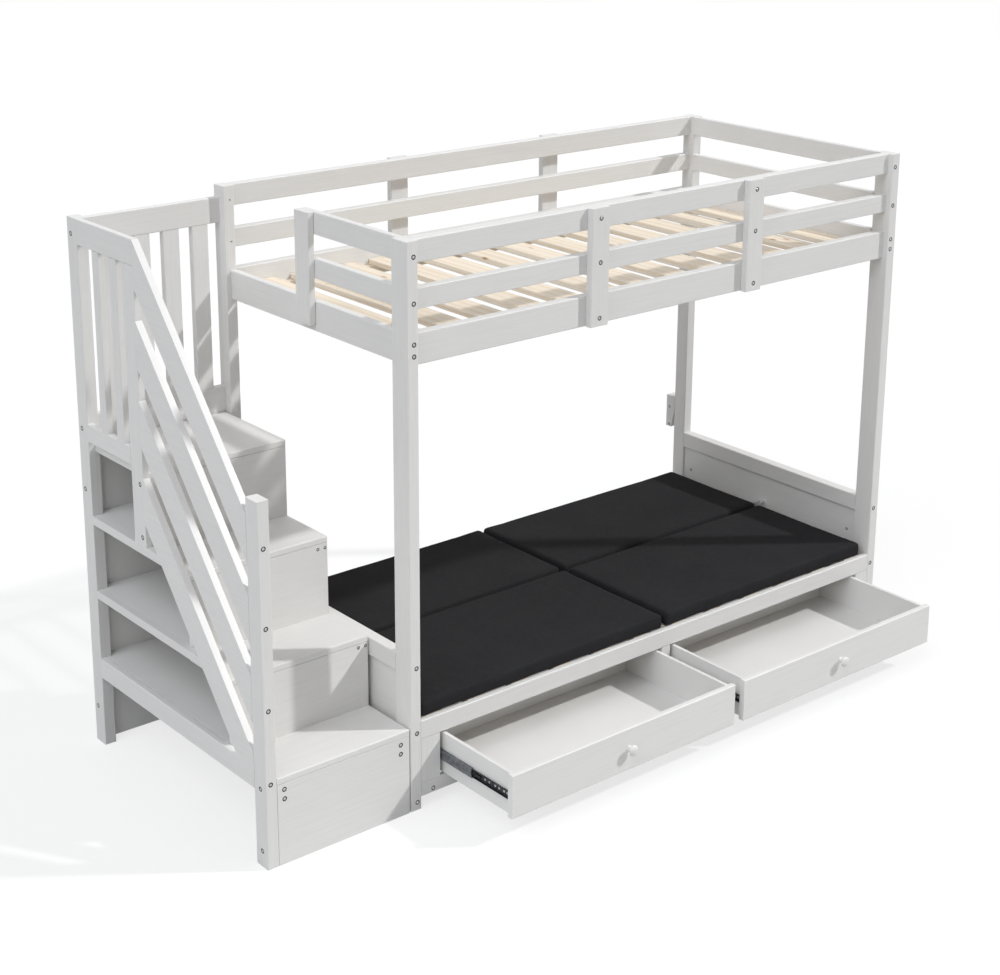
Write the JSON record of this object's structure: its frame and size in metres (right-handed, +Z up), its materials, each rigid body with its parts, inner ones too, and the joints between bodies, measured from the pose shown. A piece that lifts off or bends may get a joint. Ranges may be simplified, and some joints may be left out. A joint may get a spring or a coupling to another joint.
{
  "type": "bunk bed with storage stairs",
  "caption": "Wooden bunk bed with guard rails, a slatted upper deck, a fold-up futon below, pull-out drawers, and stairs with shelves under the treads.",
  "frame": {"origin": "on the floor, in the middle of the bed's footprint with both drawers open as pictured", "axes": "+X along the bed from the stairs to the far end, +Y from the drawer side to the back, +Z up"},
  "size_m": [2.557, 1.383, 1.716],
  "materials": {
    "white_paint": "satin white lacquer on pine",
    "white_board": "smooth white coated board",
    "bare_pine": "planed, unpainted",
    "black_cloth": "woven polyester cover",
    "slide_steel": "zinc plated",
    "bolt_steel": "nickel plated"
  },
  "bodies": {
    "root": {"backrest_pivot_pins": "slide_steel", "drawer_runner_boards": "white_paint", "end_deck_rails": "white_paint", "end_guard_rails": "white_paint", "end_panel_rails": "white_paint", "end_panels": "white_paint", "entry_upright": "white_paint", "frame_bolts": "bolt_steel", "front_bottom_board": "white_paint", "front_deck_rail": "white_paint", "front_frame_rail": "white_paint", "front_frame_stiles": "white_paint", "front_guard_rails": "white_paint", "front_left_post": "white_paint", "front_right_post": "white_paint", "guard_uprights": "white_paint", "rear_deck_rail": "white_paint", "rear_guard_rails": "white_paint", "rear_left_post": "white_paint", "rear_lower_rail": "white_paint", "rear_right_post": "white_paint", "rear_stop_blocks": "white_paint", "seat_bearers": "bare_pine", "seat_cushion_left": "black_cloth", "seat_cushion_right": "black_cloth", "seat_slats": "bare_pine", "slat_cleats": "bare_pine", "slide_outers": "slide_steel", "stair_back_panel": "white_board", "stair_back_rails": "white_paint", "stair_bed_side_wall": "white_paint", "stair_front_battens": "white_paint", "stair_front_panel": "white_paint", "stair_guard_slats": "white_paint", "stair_newel": "white_paint", "stair_rear_post": "white_paint", "stair_risers": "white_paint", "stair_shelves": "white_board", "stair_side_rails": "white_paint", "stair_side_stile": "white_paint", "stair_sloping_bars": "white_paint", "stair_treads": "white_paint", "upper_slats": "bare_pine"},
    "left_drawer": {"left_drawer_bottom": "white_board", "left_drawer_box": "white_paint", "left_drawer_front": "white_paint", "left_drawer_knob": "white_paint", "left_slide_inners": "slide_steel"},
    "right_drawer": {"right_drawer_bottom": "white_board", "right_drawer_box": "white_paint", "right_drawer_front": "white_paint", "right_drawer_knob": "white_paint", "right_slide_inners": "slide_steel"},
    "left_slide": {"left_slide_middles": "slide_steel"},
    "right_slide": {"right_slide_middles": "slide_steel"},
    "backrest": {"backrest_cushion_left": "black_cloth", "backrest_cushion_right": "black_cloth", "backrest_plates": "slide_steel", "backrest_rails": "bare_pine", "backrest_slats": "bare_pine"}
  },
  "joints": [
    {"name": "left_drawer_slide", "type": "slide", "parent": "root", "child": "left_drawer", "axis": [0, -1, 0], "range_m": [-0.328, 0.11]},
    {"name": "left_slide_extend", "type": "slide", "parent": "root", "child": "left_slide", "axis": [0, -1, 0], "range_m": [-0.164, 0.055]},
    {"name": "right_drawer_slide", "type": "slide", "parent": "root", "child": "right_drawer", "axis": [0, -1, 0], "range_m": [-0.328, 0.11]},
    {"name": "right_slide_extend", "type": "slide", "parent": "root", "child": "right_slide", "axis": [0, -1, 0], "range_m": [-0.164, 0.055]},
    {"name": "backrest_fold", "type": "hinge", "parent": "root", "child": "backrest", "pos_m": [0.2485, 0.1725, 0.33], "axis": [1, 0, 0], "range_deg": [0, 80]}
  ],
  "couplings": [
    {"joint": "left_slide_extend", "follows": "left_drawer_slide", "ratio": 0.5},
    {"joint": "right_slide_extend", "follows": "right_drawer_slide", "ratio": 0.5}
  ]
}
